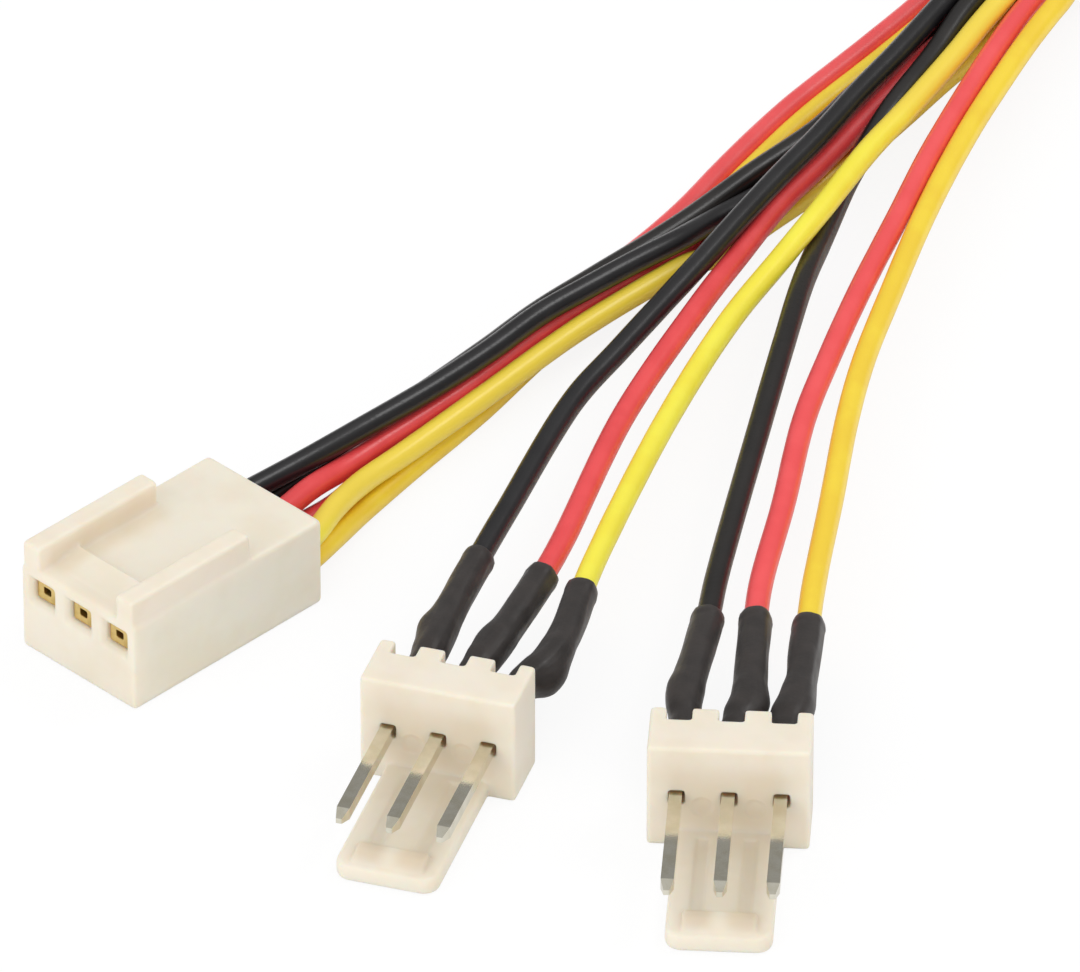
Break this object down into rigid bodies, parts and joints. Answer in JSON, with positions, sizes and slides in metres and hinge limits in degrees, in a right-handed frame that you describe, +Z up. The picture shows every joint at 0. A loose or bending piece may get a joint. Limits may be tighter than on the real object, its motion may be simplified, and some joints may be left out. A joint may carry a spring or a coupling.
{
  "type": "fan splitter cable",
  "caption": "Splitter cable for cooling fans: a keyed socket housing wired to two pin headers with lock tabs by coloured wires, their joints under black shrink sleeves.",
  "frame": {"origin": "middle of the socket housing's underside", "axes": "+Z up, +Y from the housing's mating face towards its wires, +X towards the two pin headers"},
  "size_m": [0.06, 0.1117, 0.0064],
  "materials": {
    "nylon": "satin cream nylon",
    "contact": "bright stamped strip",
    "pin": "tinned",
    "solder": "bright solder",
    "copper": "stranded copper",
    "shrink_sleeve": "matte black sleeve",
    "black_insulation": "glossy soft plastic",
    "red_insulation": "glossy soft plastic",
    "yellow_insulation": "glossy soft plastic"
  },
  "bodies": {
    "root": {"socket_housing": "nylon", "terminal_black": "contact", "terminal_red": "contact", "terminal_yellow": "contact", "header_body_a": "nylon", "header_body_b": "nylon", "pin_black_a": "pin", "pin_red_a": "pin", "pin_yellow_a": "pin", "pin_black_b": "pin", "pin_red_b": "pin", "pin_yellow_b": "pin", "solder_black_a": "solder", "solder_red_a": "solder", "solder_yellow_a": "solder", "solder_black_b": "solder", "solder_red_b": "solder", "solder_yellow_b": "solder", "core_black_a_pin_end": "copper", "core_red_a_pin_end": "copper", "core_yellow_a_pin_end": "copper", "core_black_b_pin_end": "copper", "core_red_b_pin_end": "copper", "core_yellow_b_pin_end": "copper", "core_black_a_crimp_end": "copper", "core_red_a_crimp_end": "copper", "core_yellow_a_crimp_end": "copper", "core_black_b_crimp_end": "copper", "core_red_b_crimp_end": "copper", "core_yellow_b_crimp_end": "copper", "shrink_sleeve_black_a": "shrink_sleeve", "shrink_sleeve_red_a": "shrink_sleeve", "shrink_sleeve_yellow_a": "shrink_sleeve", "shrink_sleeve_black_b": "shrink_sleeve", "shrink_sleeve_red_b": "shrink_sleeve", "shrink_sleeve_yellow_b": "shrink_sleeve", "wire_black_a": "black_insulation", "wire_red_a": "red_insulation", "wire_yellow_a": "yellow_insulation", "wire_black_b": "black_insulation", "wire_red_b": "red_insulation", "wire_yellow_b": "yellow_insulation"}
  },
  "joints": []
}
